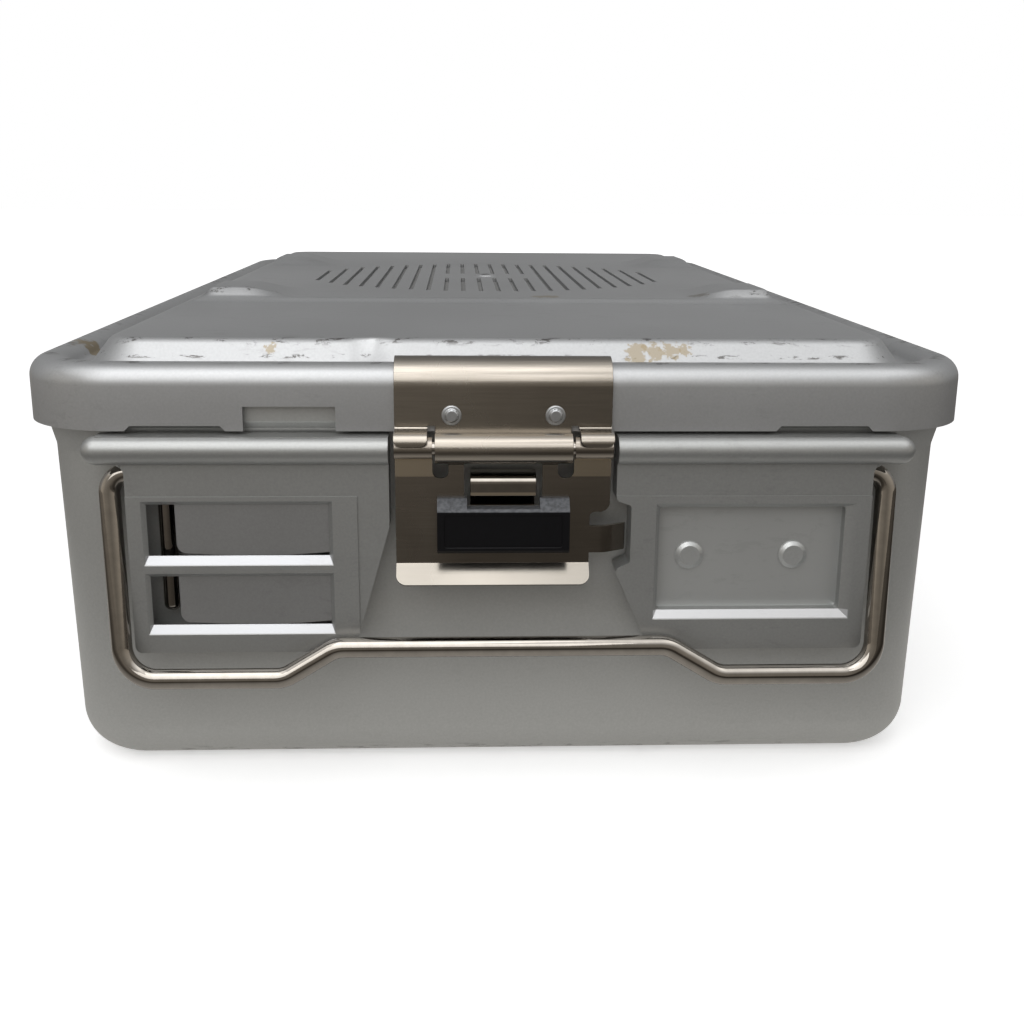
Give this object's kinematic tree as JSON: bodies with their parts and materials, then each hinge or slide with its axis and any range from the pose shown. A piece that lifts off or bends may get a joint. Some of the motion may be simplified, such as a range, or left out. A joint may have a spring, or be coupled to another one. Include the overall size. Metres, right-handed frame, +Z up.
{
  "type": "sterilization container",
  "caption": "Rigid surgical sterilization container: drawn aluminium tub, latched lid with a slitted filter field, label holders and swinging wire handles at both ends.",
  "frame": {"origin": "centre of the underside, at the bottom of the bounding box", "axes": "X across the width, Y along the length with the front end at -Y, Z up"},
  "size_m": [0.28, 0.499, 0.136],
  "materials": {
    "tub_aluminium": "satin anodized",
    "lid_aluminium": "satin anodized",
    "holder_aluminium": "satin, cast and tumbled",
    "rivet_aluminium": "plain",
    "brushed_stainless": "brushed",
    "polished_stainless": "polished",
    "black_plastic": "matte, worn at the edges",
    "gray_plastic": "matte",
    "silicone": "matte",
    "paper": "fibrous"
  },
  "bodies": {
    "bottom": {"container_bottom": "tub_aluminium", "catch_hook_front": "polished_stainless", "catch_rivets_front": "rivet_aluminium", "indicator_holder_front": "holder_aluminium", "nameplate_holder_front": "holder_aluminium", "holder_rivets_front": "rivet_aluminium", "label_stop_rod_front": "polished_stainless", "card_spring_front": "lid_aluminium", "catch_hook_rear": "polished_stainless", "catch_rivets_rear": "rivet_aluminium", "indicator_holder_rear": "holder_aluminium", "nameplate_holder_rear": "holder_aluminium", "holder_rivets_rear": "rivet_aluminium", "label_stop_rod_rear": "polished_stainless", "card_spring_rear": "lid_aluminium"},
    "lid": {"lid_shell": "lid_aluminium", "lid_gasket": "silicone", "filter_paper": "paper", "filter_retainer": "lid_aluminium", "spring_washer": "brushed_stainless", "filter_stud": "polished_stainless", "latch_bracket_front": "brushed_stainless", "bracket_rivets_front": "rivet_aluminium", "latch_pin_front": "polished_stainless", "latch_bracket_rear": "brushed_stainless", "bracket_rivets_rear": "rivet_aluminium", "latch_pin_rear": "polished_stainless"},
    "latch_front": {"latch_flap_front": "brushed_stainless", "lock_block_front": "black_plastic"},
    "handle_front": {"handle_bail_front": "polished_stainless"},
    "latch_rear": {"latch_flap_rear": "brushed_stainless", "lock_block_rear": "black_plastic"},
    "handle_rear": {"handle_bail_rear": "polished_stainless"},
    "knob": {"retainer_knob": "gray_plastic"}
  },
  "joints": [
    {"name": "lid_lift", "type": "slide", "parent": "bottom", "child": "lid", "axis": [0, 0, 1], "range_m": [0, 0.04]},
    {"name": "latch_front_hinge", "type": "hinge", "parent": "lid", "child": "latch_front", "pos_m": [0, -0.24245, 0.1028], "axis": [-1, 0, 0], "range_deg": [0, 120]},
    {"name": "latch_rear_hinge", "type": "hinge", "parent": "lid", "child": "latch_rear", "pos_m": [0, 0.24245, 0.1028], "axis": [1, 0, 0], "range_deg": [0, 120]},
    {"name": "handle_front_swing", "type": "hinge", "parent": "bottom", "child": "handle_front", "pos_m": [0, -0.2362, 0.0944], "axis": [-1, 0, 0], "range_deg": [0, 80]},
    {"name": "handle_rear_swing", "type": "hinge", "parent": "bottom", "child": "handle_rear", "pos_m": [0, 0.2362, 0.0944], "axis": [1, 0, 0], "range_deg": [0, 80]},
    {"name": "knob_turn", "type": "hinge", "parent": "lid", "child": "knob", "pos_m": [0, 0, 0.123], "axis": [0, 0, 1], "range_deg": [0, 90]}
  ],
  "couplings": [
    {"joint": "latch_front_hinge", "follows": "lid_lift", "rad_per_m": 52.3},
    {"joint": "latch_rear_hinge", "follows": "lid_lift", "rad_per_m": 52.3}
  ]
}
